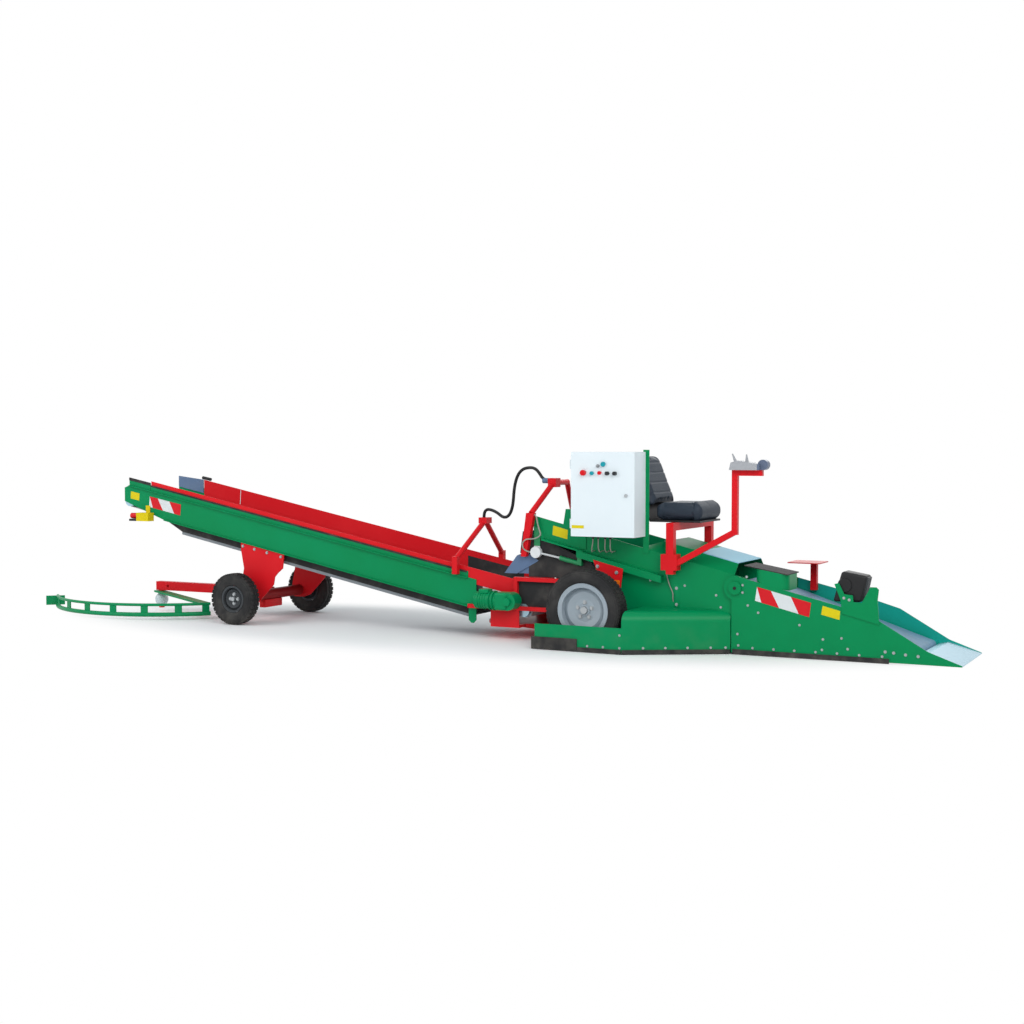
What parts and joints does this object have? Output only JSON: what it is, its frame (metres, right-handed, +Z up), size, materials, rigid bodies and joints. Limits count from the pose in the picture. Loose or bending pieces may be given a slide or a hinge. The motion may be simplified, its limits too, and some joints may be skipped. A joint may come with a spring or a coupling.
{
  "type": "potato scoop loader",
  "caption": "Self-propelled potato scoop loader for bulk stores: low belt scoop, elevator, seat, control cabinet and a trailing swivel conveyor on small wheels.",
  "frame": {"origin": "on the floor under the middle of the whole machine's box", "axes": "+X towards the scoop's lip, +Y to the far side in the picture, +Z up"},
  "size_m": [7.8994, 1.52, 1.424],
  "materials": {
    "green_paint": "gloss enamel",
    "red_paint": "gloss enamel",
    "white_paint": "powder coat",
    "grey_paint": "satin",
    "bare_steel": "bare rolled plate",
    "rim_paint": "silver enamel",
    "tyre": "worn",
    "black_rubber": "matt",
    "belt_rubber": "woven rubber belt",
    "flap_rubber": "matt",
    "seat_vinyl": "black vinyl",
    "black_plastic": "moulded",
    "cable_jacket": "cable jacket",
    "yellow_plastic": "moulded"
  },
  "bodies": {
    "chassis": {"side_walls": "green_paint", "skirts": "green_paint", "skirt_rubber": "black_rubber", "drive_axle": "grey_paint", "floor_pan": "green_paint", "drive_block": "grey_paint", "elevator_belt": "belt_rubber", "elevator_drums": "bare_steel", "foot_deck": "green_paint", "take_ups": "bare_steel", "wheel_brackets": "red_paint", "cabinet_box": "white_paint", "cabinet_post": "green_paint", "seat_frame": "red_paint", "seat_shell": "black_plastic", "seat_cushion": "seat_vinyl", "seat_back": "seat_vinyl", "console": "grey_paint", "arch_rear": "red_paint", "head_flaps": "black_rubber", "hitch_tongue": "red_paint", "control_cable": "cable_jacket"},
    "scoop": {"scoop_sides": "green_paint", "scoop_lip": "bare_steel", "scoop_belt": "belt_rubber", "scoop_rollers": "bare_steel", "scoop_bed": "green_paint", "scoop_rubber": "black_rubber", "scoop_hood": "green_paint", "foot_plate": "red_paint", "work_lamp": "black_plastic", "lamp_strap": "green_paint"},
    "conveyor": {"conveyor_sides": "green_paint", "side_boards": "red_paint", "conveyor_belt": "belt_rubber", "conveyor_drums": "bare_steel", "conveyor_bed": "green_paint", "hopper": "black_rubber", "hopper_rim": "red_paint", "turntable": "red_paint", "gearmotor": "green_paint", "leg_plates": "red_paint", "trailing_axle": "red_paint", "tail_arm": "red_paint", "tail_knob": "bare_steel", "guide_rail": "green_paint", "arch_front": "red_paint", "stop_switch": "yellow_plastic", "end_flap": "flap_rubber", "return_tray": "bare_steel"},
    "cabinet_door": {"cabinet_door": "white_paint", "cabinet_buttons": "black_plastic"},
    "wheel_drive_near": {"tyre_drive_near": "tyre", "rim_drive_near": "rim_paint"},
    "wheel_drive_far": {"tyre_drive_far": "tyre", "rim_drive_far": "rim_paint"},
    "wheel_small_near": {"tyre_small_near": "tyre", "rim_small_near": "rim_paint"},
    "wheel_small_far": {"tyre_small_far": "tyre", "rim_small_far": "rim_paint"}
  },
  "joints": [
    {"name": "scoop_tilt", "type": "hinge", "parent": "chassis", "child": "scoop", "pos_m": [2.40921, 0, 0.464], "axis": [0, -1, 0], "range_deg": [0, 12]},
    {"name": "conveyor_swivel", "type": "hinge", "parent": "chassis", "child": "conveyor", "pos_m": [0.61721, 0, 0.08], "axis": [0, 0, 1], "range_deg": [-35, 35]},
    {"name": "door_hinge", "type": "hinge", "parent": "chassis", "child": "cabinet_door", "pos_m": [1.23321, -0.54825, 1.1], "axis": [0, 0, -1], "range_deg": [0, 110]},
    {"name": "wheel_drive_near_spin", "type": "hinge", "parent": "chassis", "child": "wheel_drive_near", "pos_m": [1.39721, -0.636, 0.2875], "axis": [0, 1, 0], "continuous": true},
    {"name": "wheel_drive_far_spin", "type": "hinge", "parent": "chassis", "child": "wheel_drive_far", "pos_m": [1.39721, 0.636, 0.2875], "axis": [0, 1, 0], "continuous": true},
    {"name": "wheel_small_near_spin", "type": "hinge", "parent": "conveyor", "child": "wheel_small_near", "pos_m": [-1.78279, -0.531, 0.21], "axis": [0, 1, 0], "continuous": true},
    {"name": "wheel_small_far_spin", "type": "hinge", "parent": "conveyor", "child": "wheel_small_far", "pos_m": [-1.78279, 0.531, 0.21], "axis": [0, 1, 0], "continuous": true}
  ]
}
